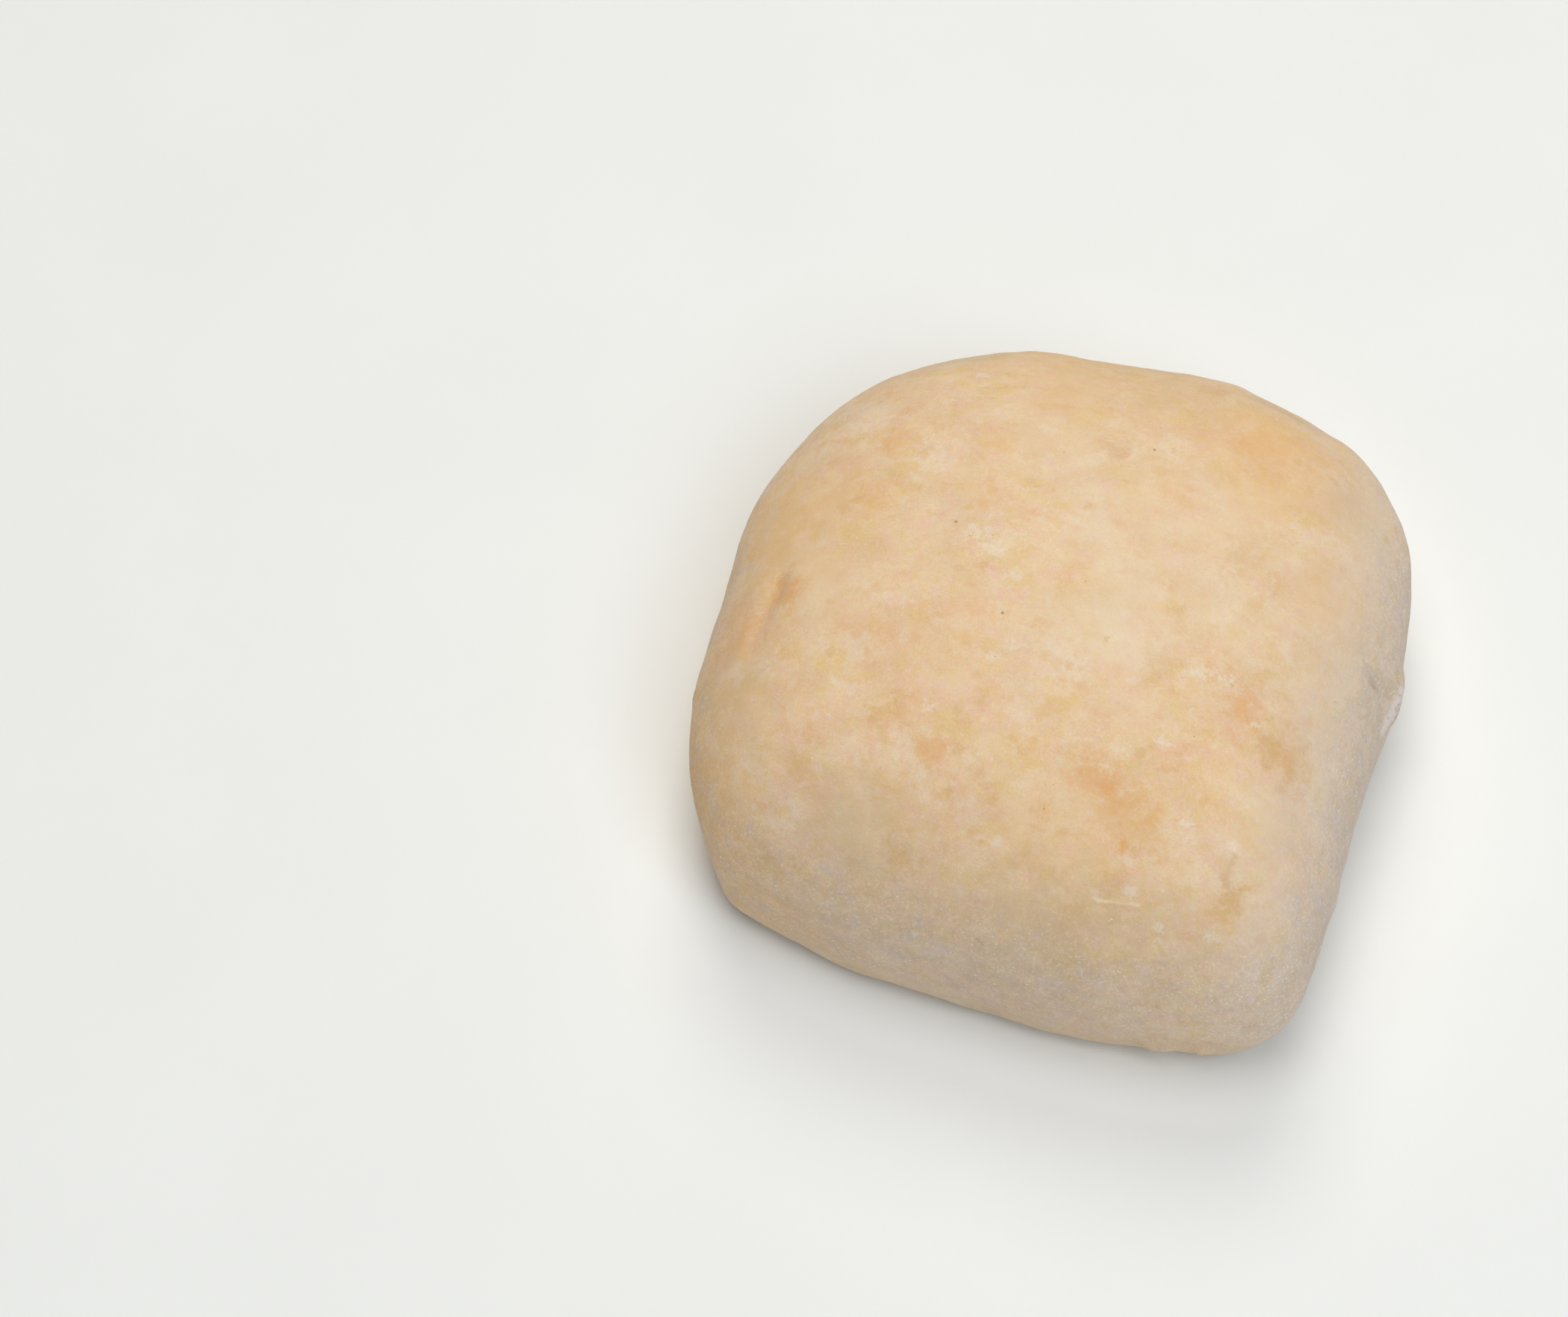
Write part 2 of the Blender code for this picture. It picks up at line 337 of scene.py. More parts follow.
class Graph:
    """The nodes of one material, with the short calls that add them."""

    def __init__(self, name):
        self.material = bpy.data.materials.new(name)
        self.material.use_nodes = True
        self.tree = self.material.node_tree
        self.shader = self.tree.nodes["Principled BSDF"]
        coordinates = self.node("ShaderNodeTexCoord")
        self.place = self.vector("SCALE", coordinates.outputs["Object"], scale=1.0 / MM)

    def node(self, kind, **settings):
        made = self.tree.nodes.new(kind)
        for name, value in settings.items():
            setattr(made, name, value)
        return made

    def feed(self, socket, value):
        if isinstance(value, bpy.types.NodeSocket):
            self.tree.links.new(value, socket)
        else:
            socket.default_value = value

    def vector(self, operation, first, second=(0.0, 0.0, 0.0), scale=1.0):
        made = self.node("ShaderNodeVectorMath", operation=operation)
        self.feed(made.inputs[0], first)
        self.feed(made.inputs[1], second)
        self.feed(made.inputs[3], scale)
        return made.outputs["Value" if operation in ("DISTANCE", "DOT_PRODUCT") else "Vector"]

    def calc(self, operation, first, second=0.0):
        made = self.node("ShaderNodeMath", operation=operation)
        self.feed(made.inputs[0], first)
        self.feed(made.inputs[1], second)
        return made.outputs[0]

    def ramp(self, value, low, high, to_low=0.0, to_high=1.0):
        """Ease from one value to another while the input goes from low to high."""
        made = self.node("ShaderNodeMapRange", interpolation_type="SMOOTHSTEP")
        for socket, number in zip(made.inputs, (value, low, high, to_low, to_high)):
            self.feed(socket, number)
        return made.outputs[0]

    def mix(self, share, under, over, mode="MIX"):
        made = self.node("ShaderNodeMix", data_type="RGBA", blend_type=mode)
        self.feed(made.inputs[0], share)
        self.feed(made.inputs[6], under)
        self.feed(made.inputs[7], over)
        return made.outputs[2]

    def noise(self, size, detail=2.0, roughness=0.5, place=None, output=0):
        made = self.node("ShaderNodeTexNoise")
        self.feed(made.inputs["Vector"], place or self.place)
        self.feed(made.inputs["Scale"], 1.0 / size)
        self.feed(made.inputs["Detail"], detail)
        self.feed(made.inputs["Roughness"], roughness)
        return made.outputs[output]

    def shifted(self, amount, place=None):
        """The coordinates moved elsewhere, so that a second noise isn't a copy of the first."""
        return self.vector("ADD", place or self.place, (amount, amount * 0.7, amount * 1.3))

    def warped(self, size, amount):
        """The coordinates bent by noise, so that round shapes turn ragged."""
        bend = self.vector("SUBTRACT", self.noise(size, 1.0, output=1), (0.5, 0.5, 0.5))
        return self.vector("ADD", self.place, self.vector("SCALE", bend, scale=amount))

    def clouds(self, size, octaves, roughness, shift, begin, full, lowest, highest, place=None):
        """Noise at shifted coordinates, eased from its lowest to its highest result."""
        made = self.noise(size, octaves, roughness, self.shifted(shift, place))
        return self.ramp(made, begin, full, lowest, highest)

    def axes(self, place):
        """The three coordinates of a place, one by one: right, back and up."""
        made = self.node("ShaderNodeSeparateXYZ")
        self.feed(made.inputs[0], place)
        return made.outputs

    def attribute(self, name):
        return self.node("ShaderNodeAttribute", attribute_name=name).outputs["Fac"]

    def spots(self, rows, place, ragged=0.0):
        """One mask of soft spots from rows of middle, radius and strength.

        Noise added to the distance, as a share of the radius, tears the edge.
        """
        strongest = 0.0
        for middle, radius, strength in rows:
            away = self.node("ShaderNodeMath", operation="MULTIPLY_ADD")
            self.feed(away.inputs[0], self.vector("DISTANCE", place, middle))
            self.feed(away.inputs[1], 1.0 / radius)
            self.feed(away.inputs[2], ragged)
            near = self.ramp(away.outputs[0], 0.0, 1.0, strength, 0.0)
            strongest = self.calc("MAXIMUM", strongest, near)
        return strongest

    def stroke(self, points, half_width, place=None):
        """A mask of one thin line through points, which fades to nothing at its half width."""
        nearest = half_width
        for start, end in zip(points, points[1:]):
            along = Vector(end) - Vector(start)
            from_start = self.vector("SUBTRACT", place or self.place, start)
            reach = self.vector("DOT_PRODUCT", from_start, along)
            share = self.calc("DIVIDE", reach, along.length_squared)
            share = self.calc("MINIMUM", self.calc("MAXIMUM", share, 0.0), 1.0)
            away = self.vector("DISTANCE", from_start, self.vector("SCALE", along, scale=share))
            nearest = self.calc("MINIMUM", nearest, away)
        return self.ramp(nearest, 0.0, half_width, 1.0, 0.0)

    def dots(self, spacing, smallest, largest, share, place=None):
        """A mask of scattered dots: one in a share of the cells, between two radii."""
        cells = self.node("ShaderNodeTexVoronoi")
        self.feed(cells.inputs["Vector"], place or self.place)
        self.feed(cells.inputs["Scale"], 1.0 / spacing)
        draw = self.node("ShaderNodeSeparateColor")
        self.feed(draw.inputs[0], cells.outputs["Color"])
        radius = self.ramp(draw.outputs[0], 0.0, 1.0, smallest / spacing, largest / spacing)
        kept = self.calc("LESS_THAN", draw.outputs[1], share)
        near = self.calc("DIVIDE", cells.outputs["Distance"], radius)
        return self.calc("MULTIPLY", self.ramp(near, DOT_CORE, 1.0, 1.0, 0.0), kept)

    def surface(self, settings):
        """Set inputs of the shader from their names, to plain values or outputs."""
        for name, value in settings.items():
            self.feed(self.shader.inputs[name], value)

    def bump(self, height, strength):
        """Raise the surface by a height in mm, without moving its points."""
        made = self.node("ShaderNodeBump")
        self.feed(made.inputs["Strength"], strength)
        self.feed(made.inputs["Distance"], MM)
        self.feed(made.inputs["Height"], height)
        self.feed(self.shader.inputs["Normal"], made.outputs[0])


helpers = [name for name in vars(Graph) if not name.startswith("_")]
print("node helpers:", len(helpers))

# %% [markdown]
# ## The crust: soft mottling
# A part-baked crust is pale, with no single colour: cream where flour lies
# thick, peach and yellow where the dough shows, pink where it is thin.  The
# patches have no edges.  One way is to paint them.  Here each tint gets its own
# noise at its own size instead, from broad clouds down to the grit of single
# grains, so that the skin looks right from far and near.

# %% Mottle the crust
DOUGH = tone(239, 208, 170)
# Tint, size of its clouds in mm, their octaves, where they begin and are full, and strength
TINTS = (
    (tone(231, 184, 138), 11.0, 3.0, 0.44, 0.68, 0.42),
    (tone(240, 222, 200), 9.0, 3.0, 0.44, 0.68, 0.52),
    (tone(232, 198, 134), 5.0, 2.0, 0.50, 0.70, 0.70),
    (tone(237, 189, 165), 5.0, 3.0, 0.48, 0.68, 0.50),
    (tone(222, 189, 150), 6.5, 0.5, 0.40, 0.74, 0.36),
    (tone(229, 182, 132), 3.0, 2.0, 0.52, 0.74, 0.62),
    (tone(233, 199, 134), 1.9, 2.0, 0.49, 0.76, 0.60),
    (tone(238, 194, 172), 1.6, 2.0, 0.49, 0.74, 0.52),
    (tone(240, 222, 200), 1.2, 2.0, 0.52, 0.78, 0.40),
    (tone(216, 182, 142), 0.8, 2.0, 0.50, 0.80, 0.24),
)
TINT_STEP = 37.0
CLOUD_ROUGHNESS = 0.6
# The clouds are a little wider from left to right than from front to back
STRETCH = (0.93, 1.1, 1.0)
GRIT_SIZE = 0.32
GRIT_SHADES = (0.95, 1.05)

skin = Graph("floury_crust")
stretched = skin.vector("MULTIPLY", skin.place, STRETCH)
color = DOUGH
for number, (tint, size, octaves, begin, full, strength) in enumerate(TINTS):
    shift = TINT_STEP * (number + 1)
    share = skin.clouds(size, octaves, CLOUD_ROUGHNESS, shift, begin, full, 0.0, strength, stretched)
    color = skin.mix(share, color, tint)
grit = skin.noise(GRIT_SIZE, 2.0, CLOUD_ROUGHNESS)
color = skin.mix(1.0, color, skin.ramp(grit, 0.25, 0.75, *GRIT_SHADES), "MULTIPLY")
print("tints over the dough:", len(TINTS))

# %% [markdown]
# ## Where the tone drifts, and painted light
# Over the whole roll the tone drifts: golden along the back edge and the left
# shoulder, cream on the crown, tan where the front turns down, and pale on the
# right flank.  Part of this is painted light: warm light in the gold on the
# back and the left, shade in the tan at the front, and cool light in the pale
# flank on the right.  A painted map could hold this, but wide soft spots round
# a few places on the skin are enough.

# %% Let the tone drift
# Gold is partly painted warm light on the back edge and the left shoulder
GOLD_AND_WARM_LIGHT = tone(234, 190, 132)
IVORY = tone(241, 219, 190)
# Tan is partly painted shade where the front turns down
TAN_AND_SHADE = tone(218, 188, 148)
# The pale flank tone is partly painted cool light on the right side
FLANK_AND_COOL_LIGHT = tone(226, 208, 192)
FLANK_AND_LIGHT_SHARE = 0.62
# The flank's tone begins and is full at these distances to the right, in mm
FLANK_AND_LIGHT_SPAN = (30.0, 45.0)
# Size and reach in mm of the bends that make the wide spots uneven
DRIFT_BENDS = (9.0, 9.0)
# Clouds: size in mm, octaves, roughness, shift, where they begin and are full,
# and their lowest and highest result
CLOUDY = (4.0, 3.0, 0.6, 15.0, 0.25, 0.75, -0.3, 0.3)
DUSTY = (2.6, 4.0, 0.7, 120.0, 0.25, 0.75, 0.5, 1.05)
# Gold spots, partly painted warm light on the back edge and the left side
# Middle in mm, radius in mm and strength
GOLDEN_AND_WARM_LIGHT = (
    ((-7.0, 34.0, 41.5), 15.0, 0.30),
    ((-6.0, 46.0, 34.0), 22.0, 0.55),
    ((26.0, 32.0, 39.0), 17.0, 0.60),
    ((-42.0, 2.0, 38.0), 20.0, 0.65),
    ((-45.0, -30.0, 22.0), 24.0, 0.85),
    ((-30.0, -46.0, 12.0), 20.0, 0.60),
    ((14.0, -34.0, 40.0), 16.0, 0.25),
    ((37.2, 10.5, 38.3), 8.0, 0.55),
    ((37.2, -14.8, 37.9), 8.0, 0.35),
    ((-38.4, -42.3, 20.6), 9.0, 0.50),
    ((8.6, -21.5, 44.9), 6.0, 0.25),
    ((-13.6, 9.9, 47.4), 6.0, 0.30),
    ((-9.9, -9.6, 47.4), 5.0, 0.30),
    ((-26.0, -10.3, 44.7), 8.0, 0.25),
    ((25.3, -32.3, 40.1), 3.5, 0.40),
    ((6.0, 41.8, 37.0), 12.0, 0.30),
)
IVORIES = (
    ((12.0, -4.0, 47.0), 16.0, 0.55),
    ((8.0, 12.0, 47.0), 16.0, 0.35),
    ((24.0, 2.0, 44.0), 14.0, 0.32),
    ((2.0, -12.0, 47.0), 12.0, 0.15),
    ((-10.0, -18.0, 46.0), 15.0, 0.12),
    ((20.5, 15.5, 44.8), 15.0, 0.40),
    ((-18.5, 0.5, 46.9), 15.0, 0.10),
    ((14.0, 3.5, 46.8), 9.5, 0.52),
    ((15.0, 11.5, 46.8), 8.5, 0.52),
    ((4.5, -34.4, 40.7), 5.5, 0.35),
    ((12.7, -32.8, 40.8), 4.5, 0.30),
    ((42.0, -16.5, 33.0), 7.0, 0.45),
    ((-5.5, 34.0, 41.8), 7.0, 0.40),
    ((-32.0, -7.5, 42.7), 8.0, 0.38),
    ((-9.0, 22.0, 46.0), 14.0, 0.34),
    ((17.2, -18.5, 44.8), 7.0, 0.34),
    ((-7.4, -20.2, 45.6), 6.0, 0.40),
    ((-7.4, 0.2, 48.4), 4.5, 0.45),
    ((17.0, -3.4, 46.0), 5.0, 0.35),
    ((5.9, 17.9, 46.9), 5.0, 0.30),
    ((-0.5, 19.5, 46.5), 9.0, 0.28),
    ((0.2, -27.6, 43.5), 4.5, 0.35),
    ((37.2, -27.1, 37.8), 6.0, 0.35),
    ((9.8, -46.4, 31.6), 6.0, 0.35),
    ((40.0, -46.8, 24.0), 7.0, 0.40),
)
# Tan spots, partly painted shade, most of them where the front turns down
TANS_AND_SHADE = (
    ((-16.0, -42.0, 34.0), 16.0, 0.60),
    ((11.0, -48.5, 28.5), 15.0, 0.80),
    ((-6.0, -48.5, 26.0), 13.0, 0.55),
    ((37.5, 28.0, 35.8), 9.0, 0.40),
    ((45.0, 22.0, 30.0), 9.0, 0.30),
    ((30.0, -44.5, 32.5), 12.0, 0.30),
    ((8.5, 39.0, 39.0), 12.0, 0.38),
    ((-44.0, -22.0, 32.0), 14.0, 0.40),
    ((3.2, -50.9, 20.3), 7.0, 0.50),
    ((5.8, 44.9, 34.5), 8.0, 0.40),
    ((-0.1, -50.3, 22.2), 7.0, 0.30),
    ((26.5, -47.2, 30.0), 7.0, 0.40),
    ((39.6, 33.6, 31.6), 7.0, 0.30),
    ((42.9, 2.8, 33.8), 6.0, 0.30),
)
drifting = skin.warped(*DRIFT_BENDS)
cloudy = skin.clouds(*CLOUDY)
color = skin.mix(skin.spots(IVORIES, drifting, cloudy), color, IVORY)
color = skin.mix(skin.spots(GOLDEN_AND_WARM_LIGHT, drifting, cloudy), color, GOLD_AND_WARM_LIGHT)
color = skin.mix(skin.spots(TANS_AND_SHADE, drifting, cloudy), color, TAN_AND_SHADE)
rightwards = skin.axes(drifting)[0]
dusty = skin.clouds(*DUSTY)
flank_and_cool_light = skin.calc("MULTIPLY", dusty, skin.ramp(rightwards, *FLANK_AND_LIGHT_SPAN, 0.0, FLANK_AND_LIGHT_SHARE))
color = skin.mix(flank_and_cool_light, color, FLANK_AND_COOL_LIGHT)
print("wide tones:", len(GOLDEN_AND_WARM_LIGHT) + len(IVORIES) + len(TANS_AND_SHADE))

# %% [markdown]
# ## Toasted blushes, and warm light on the left shoulder
# Where the dough swelled nearest to the heat it took a little more colour:
# orange on the shoulders and yellow-brown in a few small spots.  On the left
# shoulder the orange is partly painted warm light, reflected onto it.  Real
# blushes are ragged and broken up inside.  Each is a spot round a place on the
# skin, read through bent coordinates, with noise that tears its edge.

# %% Add the toasted blushes
ORANGE = tone(232, 172, 108)
BROWN = tone(212, 168, 104)
BLUSH_BENDS = (2.6, 2.2)
TORN = (1.8, 3.0, 0.85, 61.0, 0.25, 0.75, -0.45, 0.45)
# Middle in mm, radius in mm and strength
ORANGE_BLUSHES_AND_WARM_LIGHT = (
    ((-8.4, -30.2, 42.4), 3.8, 0.60),
    ((-8.4, -30.2, 42.4), 7.0, 0.10),
    ((15.6, -29.4, 42.0), 2.8, 0.70),
    ((14.4, -28.4, 42.4), 5.5, 0.46),
    ((19.2, -32.4, 40.7), 7.0, 0.38),
    ((20.2, -36.3, 38.7), 2.0, 0.50),
    ((30.8, -11.9, 41.9), 5.0, 0.55),
    ((29.0, -12.4, 42.6), 8.0, 0.24),
    ((39.8, -17.0, 35.4), 4.5, 0.40),
    ((35.0, -41.0, 34.6), 6.0, 0.18),
    # These two on the left shoulder are partly painted warm light, reflected onto it
    ((-36.4, -8.6, 40.0), 5.0, 0.66),
    ((-42.5, -14.0, 34.6), 9.0, 0.48),
    ((-28.2, 7.5, 44.2), 5.5, 0.40),
    ((-27.1, 18.1, 43.6), 4.5, 0.40),
    ((-20.7, -14.9, 45.3), 4.5, 0.36),
    ((-13.9, -25.2, 44.1), 4.0, 0.35),
    ((-8.1, -9.1, 47.5), 3.2, 0.30),
    ((-13.2, 18.9, 46.4), 4.5, 0.32),
    ((-6.9, 33.4, 41.9), 4.5, 0.28),
    ((21.1, 30.9, 41.4), 3.5, 0.45),
    ((24.1, 31.4, 40.6), 10.0, 0.28),
    ((13.7, 17.7, 46.2), 4.0, 0.26),
)
BROWN_BLUSHES = (
    ((36.4, -16.0, 38.3), 4.6, 0.52),
    ((38.4, -15.2, 36.8), 7.5, 0.34),
    ((36.6, -38.6, 35.3), 3.6, 0.60),
    ((36.5, -39.0, 35.0), 5.0, 0.22),
    ((4.2, 22.5, 45.9), 4.0, 0.40),
    ((-3.5, -21.9, 45.1), 2.4, 0.32),
    ((-9.7, -43.3, 33.6), 4.2, 0.50),
    ((19.3, -10.5, 45.3), 4.6, 0.30),
    ((18.9, -1.3, 45.7), 2.2, 0.38),
    ((-8.2, -1.3, 48.4), 2.0, 0.28),
    ((-15.2, -23.6, 44.5), 2.4, 0.30),
    ((25.8, 10.0, 43.7), 5.0, 0.28),
    ((-17.3, -27.2, 43.0), 3.0, 0.30),
    ((-1.9, -32.1, 41.7), 3.2, 0.30),
    ((19.5, -41.0, 36.1), 3.4, 0.32),
    ((-26.6, -35.1, 37.9), 3.2, 0.36),
    ((-29.4, -44.1, 26.7), 3.2, 0.36),
    ((16.0, -46.5, 30.0), 9.0, 0.20),
    ((1.3, 41.5, 37.2), 3.2, 0.36),
    ((14.7, 41.7, 37.2), 3.2, 0.38),
)
bent = skin.warped(*BLUSH_BENDS)
torn = skin.clouds(*TORN)
toasted_and_warm_light = skin.spots(ORANGE_BLUSHES_AND_WARM_LIGHT, bent, torn)
browned = skin.spots(BROWN_BLUSHES, bent, torn)
color = skin.mix(toasted_and_warm_light, color, ORANGE)
color = skin.mix(browned, color, BROWN)
print("blushes:", len(ORANGE_BLUSHES_AND_WARM_LIGHT) + len(BROWN_BLUSHES))

# %% [markdown]
# ## Specks
# Close up, the crust has small freckles where the skin toasted through, and a
# few specks of bran.  Scattered things like these come from a Voronoi texture:
# each of its cells holds one random point, and a dot is drawn round some.  The
# few larger specks that catch the eye are placed one by one.

# %% Add freckles and bran
FRECKLE = tone(216, 176, 116)
BRAN = tone(120, 92, 66)
# Scattered dots: their spacing, smallest and largest radius in mm, and the share drawn
FRECKLES = (5.0, 0.5, 1.2, 0.4)
BRAN_SPECKS = (3.0, 0.10, 0.17, 0.25)
FRECKLE_SHARE = 0.35
BRAN_SHARE = 0.55
BRAN_SHIFT = 15.0
# Size and reach in mm of the small bends that make dots and lines ragged
JITTER = (1.0, 1.5)
# Middle in mm, radius in mm and strength
LARGER_BRAN = (
    ((-14.6, 4.1, 47.4), 0.35, 0.8),
    ((-4.2, -8.9, 47.4), 0.35, 0.8),
    ((9.3, 24.5, 45.1), 0.40, 0.7),
)
TOASTED_DOTS = (
    ((19.0, -33.4, 40.1), 0.55, 0.75),
    ((20.3, -36.0, 38.8), 1.10, 0.75),
    ((16.5, -29.5, 41.8), 1.20, 0.45),
)
jittered = skin.warped(*JITTER)
freckles = skin.calc("MULTIPLY", skin.dots(*FRECKLES, jittered), FRECKLE_SHARE)
bran = skin.calc("MULTIPLY", skin.dots(*BRAN_SPECKS, skin.shifted(BRAN_SHIFT)), BRAN_SHARE)
color = skin.mix(freckles, color, FRECKLE)
color = skin.mix(bran, color, BRAN)
color = skin.mix(skin.spots(LARGER_BRAN, skin.place), color, BRAN)
color = skin.mix(skin.spots(TOASTED_DOTS, jittered), color, ORANGE)
print("specks placed by hand:", len(LARGER_BRAN) + len(TOASTED_DOTS))

# %% [markdown]
# ## A film of flour, and cool light on the right
# Flour is what makes the roll look dusty.  On the sides it is a thin grey-lilac
# film, thickest on the right and thinner at the front corner.  Its grey-lilac
# tone and its rise to the right are partly painted cool light on the right
# side.  The film could be painted on, but here it follows the attribute that
# says how far the skin faces sideways, broken up by noise.  Straw and lilac
# stains keep it from looking like paint.

# %% Dust the sides
# The film's grey-lilac is partly painted cool light
FILM_AND_COOL_LIGHT = tone(212, 197, 188)
# The tint of each stain, and its clouds
STAINS = (
    (tone(222, 194, 148), (3.0, 3.0, 0.5, 91.0, 0.48, 0.75, 0.0, 0.38)),
    (tone(213, 197, 198), (3.0, 3.0, 0.5, 182.0, 0.48, 0.75, 0.0, 0.38)),
)
# Shares of the film at the left, in front and at the right; its rise to the
# right is partly painted cool light
LEFT_FILM_AND_LIGHT = 0.05
FRONT_FILM_AND_LIGHT = 0.42
RIGHT_FILM_AND_LIGHT = 0.64
# Distances to the right in mm over which the film and the stains thicken
LEFT_SPAN = (-44.0, -12.0)
RIGHT_SPAN = (26.0, 50.0)
THICKER_SPAN = (25.0, 48.0)
THICKER = 1.5
# How far the skin turns sideways where the film and the stains begin and are full
FILM_AND_LIGHT_SLOPE = (0.15, 0.95)
SIDE_SLOPE = (0.1, 0.6)
# Where the film is thinner: middle in mm, radius in mm and strength
THINNER_FILM_SPOTS = (((34.0, -49.0, 15.0), 19.0, 0.90), ((45.0, -44.0, 18.0), 11.0, 0.50))

sideways = skin.attribute("sideways")
from_left = skin.ramp(rightwards, *LEFT_SPAN, LEFT_FILM_AND_LIGHT, FRONT_FILM_AND_LIGHT)
from_right = skin.ramp(rightwards, *RIGHT_SPAN, 0.0, RIGHT_FILM_AND_LIGHT - FRONT_FILM_AND_LIGHT)
around = skin.calc("ADD", from_left, from_right)
film_kept = skin.calc("SUBTRACT", 1.0, skin.spots(THINNER_FILM_SPOTS, drifting))
around = skin.calc("MULTIPLY", around, film_kept)
film_and_cool_light = skin.calc("MULTIPLY", skin.ramp(sideways, *FILM_AND_LIGHT_SLOPE), skin.calc("MULTIPLY", dusty, around))
color = skin.mix(film_and_cool_light, color, FILM_AND_COOL_LIGHT)
on_sides = skin.ramp(sideways, *SIDE_SLOPE)
to_right = skin.ramp(rightwards, *THICKER_SPAN, 1.0, THICKER)
dusted = skin.calc("MULTIPLY", on_sides, to_right)
stained = skin.calc("MULTIPLY", dusted, film_kept)
for tint, clouds in STAINS:
    color = skin.mix(skin.calc("MULTIPLY", stained, skin.clouds(*clouds)), color, tint)
print("stains in the film:", len(STAINS))

# %% [markdown]
# ## Smudges of flour
# On the top the flour lies in small smudges, where the skin was touched.  Noise
# alone would spread them evenly.  So the ones that catch the eye are placed one
# by one, as spots with torn edges that are smeared a little from left to right,
# and fainter dots are scattered between them.

# %% Smudge the top
SMUDGE = tone(240, 225, 208)
# Middle in mm, radius in mm and strength
SMUDGES = (
    ((28.2, -9.1, 43.2), 1.9, 0.70),
    ((24.4, -9.5, 44.3), 1.8, 0.60),
    ((28.0, -31.3, 40.1), 1.2, 0.60),
    ((-10.7, -24.8, 44.4), 1.3, 0.60),
    ((2.7, -39.5, 37.7), 1.2, 0.60),
    ((-10.7, 2.9, 48.1), 2.2, 0.60),
    ((-8.0, 0.6, 48.4), 2.0, 0.65),
    ((-4.0, -2.5, 48.3), 1.6, 0.45),
    ((22.0, -21.2, 43.6), 1.4, 0.60),
    ((16.8, -24.1, 43.7), 1.2, 0.60),
    ((15.3, -26.8, 43.0), 1.1, 0.50),
    ((-1.3, -13.2, 46.6), 1.3, 0.60),
    ((-3.7, -15.5, 46.4), 1.3, 0.55),
    ((7.7, -13.2, 46.0), 1.3, 0.55),
    ((34.7, -31.9, 38.3), 1.3, 0.55),
    ((33.4, -13.7, 40.3), 1.0, 0.50),
    ((-6.3, 24.0, 45.5), 1.8, 0.40),
    ((-19.0, 33.9, 40.5), 1.4, 0.45),
    ((34.7, -43.5, 32.7), 1.1, 0.55),
    ((27.5, -44.2, 33.1), 1.0, 0.50),
    ((41.2, -44.9, 27.4), 1.4, 0.50),
    ((22.5, -41.0, 35.8), 1.1, 0.50),
    ((21.4, -37.7, 38.0), 1.6, 0.40),
)
# The smears are wider from left to right
SMEAR = (0.72, 1.25, 1.25)
SMEAR_TORN = (0.7, 2.0, 0.7, 0.0, 0.3, 0.7, -0.5, 0.5)
FAINT_SMUDGES = (4.2, 0.4, 0.9, 0.5)
FAINT_SHARE = 0.22
FAINT_SHIFT = 5.0

smeared_rows = []
for middle, radius, strength in SMUDGES:
    smeared_middle = tuple(part * share for part, share in zip(middle, SMEAR))
    smeared_rows.append((smeared_middle, radius, strength))
smeared = skin.vector("MULTIPLY", jittered, SMEAR)
color = skin.mix(skin.spots(smeared_rows, smeared, skin.clouds(*SMEAR_TORN)), color, SMUDGE)
scattered = skin.dots(*FAINT_SMUDGES, skin.shifted(FAINT_SHIFT, jittered))
color = skin.mix(skin.calc("MULTIPLY", scattered, FAINT_SHARE), color, SMUDGE)
print("smudges placed by hand:", len(SMUDGES))

# %% [markdown]
# ## Grain of the flour
# On the sides the flour lies as separate grains, which catch the light one by
# one.  Modelling each would take millions of faces, so the larger ones are
# drawn as dots and the rest as noise that lightens and darkens the skin.  The
# rim at the base, which flour hardly reaches, is warmer and lighter in tone:
# partly its own tone and partly painted bounce light from below.

# %% Add the grain
GRAIN = tone(252, 242, 228)
# The rim's lighter tone is partly painted bounce light from below
RIM_AND_BOUNCE_LIGHT = tone(232, 208, 168)
GRANULAR = (3.0, 4.0, 1.0, 150.0, 0.3, 0.7, 0.92, 1.08)
POWDER_PEAKS = (0.55, 2.0, 0.8, 170.0, 0.50, 0.80, 0.0, 0.52)
CLUSTERS = (2.2, 2.0, 0.6, 180.0, 0.35, 0.65, 0.35, 1.35)
GRAIN_DOTS = (0.7, 0.09, 0.24, 0.75)
GRAIN_SHIFT = 7.0
# Strength of the grains on the top and on the sides, and the slope between them
GRAIN_SHARES = (0.12, 0.64)
GRAIN_SLOPE = (0.1, 0.7)
# Heights in mm between which the grains thin out, to this share
THINNING_HEIGHTS = (20.0, 34.0)
THINNED_SHARE = 0.4
RIM_HEIGHT = 15.0
RIM_SHARE = 0.45

granular = skin.mix(1.0, color, skin.clouds(*GRANULAR), "MULTIPLY")
color = skin.mix(on_sides, color, granular)
powdered = skin.calc("MULTIPLY", dusted, skin.clouds(*POWDER_PEAKS))
color = skin.mix(powdered, color, GRAIN)
upwards = skin.axes(skin.place)[2]
grain_share = skin.calc("MULTIPLY", skin.ramp(sideways, *GRAIN_SLOPE, *GRAIN_SHARES), to_right)
grain_dots = skin.dots(*GRAIN_DOTS, skin.shifted(GRAIN_SHIFT))
thinned = skin.ramp(upwards, *THINNING_HEIGHTS, 1.0, THINNED_SHARE)
clustered = skin.calc("MULTIPLY", skin.clouds(*CLUSTERS), thinned)
grains = skin.calc("MULTIPLY", grain_dots, skin.calc("MULTIPLY", grain_share, clustered))
color = skin.mix(grains, color, GRAIN)
color = skin.mix(skin.ramp(upwards, 0.0, RIM_HEIGHT, RIM_SHARE, 0.0), color, RIM_AND_BOUNCE_LIGHT)
